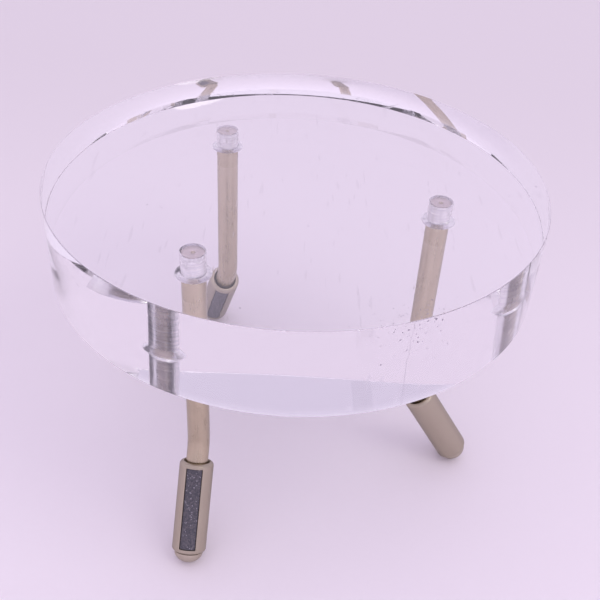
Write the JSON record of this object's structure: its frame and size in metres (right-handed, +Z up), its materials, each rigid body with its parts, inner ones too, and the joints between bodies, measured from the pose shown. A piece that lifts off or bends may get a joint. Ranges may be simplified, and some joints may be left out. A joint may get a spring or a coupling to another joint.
{
  "type": "display stand",
  "caption": "Round display stand: a thick clear acrylic disc on bent round metal legs that end in tubular sleeve feet.",
  "frame": {"origin": "on the disc's vertical axis, at the level of the surface the stand rests on", "axes": "+Z up, square to the disc; +X over the right-hand leg; -Y is the front"},
  "size_m": [0.1016, 0.1016, 0.0763],
  "materials": {
    "clear_acrylic": "polished clear",
    "rod_nickel": "satin nickel",
    "sleeve_nickel": "satin nickel",
    "tip_nickel": "satin nickel",
    "dark_grit": "rough granular",
    "black_rubber": "matte"
  },
  "bodies": {
    "platform": {"platform_disc": "clear_acrylic"},
    "leg_front_left": {"leg_rod_front_left": "rod_nickel", "foot_o_ring_front_left": "black_rubber"},
    "leg_right": {"leg_rod_right": "rod_nickel", "foot_o_ring_right": "black_rubber"},
    "leg_rear_left": {"leg_rod_rear_left": "rod_nickel", "foot_o_ring_rear_left": "black_rubber"},
    "foot_front_left": {"foot_sleeve_front_left": "sleeve_nickel", "foot_insert_front_left": "dark_grit", "foot_tip_front_left": "tip_nickel"},
    "foot_right": {"foot_sleeve_right": "sleeve_nickel", "foot_insert_right": "dark_grit", "foot_tip_right": "tip_nickel"},
    "foot_rear_left": {"foot_sleeve_rear_left": "sleeve_nickel", "foot_insert_rear_left": "dark_grit", "foot_tip_rear_left": "tip_nickel"}
  },
  "joints": [
    {"name": "leg_swivel_front_left", "type": "hinge", "parent": "platform", "child": "leg_front_left", "pos_m": [-0.01834, -0.02555, 0.02364], "axis": [0, 0, 1], "continuous": true},
    {"name": "leg_swivel_right", "type": "hinge", "parent": "platform", "child": "leg_right", "pos_m": [0.02936, -0.00356, 0.02364], "axis": [0, 0, 1], "continuous": true},
    {"name": "leg_swivel_rear_left", "type": "hinge", "parent": "platform", "child": "leg_rear_left", "pos_m": [-0.01641, 0.02261, 0.02364], "axis": [0, 0, 1], "continuous": true},
    {"name": "foot_spin_front_left", "type": "hinge", "parent": "leg_front_left", "child": "foot_front_left", "pos_m": [-0.01834, -0.02555, 0.02364], "axis": [-0.0489, -0.5277, -0.848], "continuous": true},
    {"name": "foot_spin_right", "type": "hinge", "parent": "leg_right", "child": "foot_right", "pos_m": [0.02936, -0.00356, 0.02364], "axis": [0.5298, -0.0092, -0.848], "continuous": true},
    {"name": "foot_spin_rear_left", "type": "hinge", "parent": "leg_rear_left", "child": "foot_rear_left", "pos_m": [-0.01641, 0.02261, 0.02364], "axis": [-0.2071, 0.4878, -0.848], "continuous": true}
  ]
}
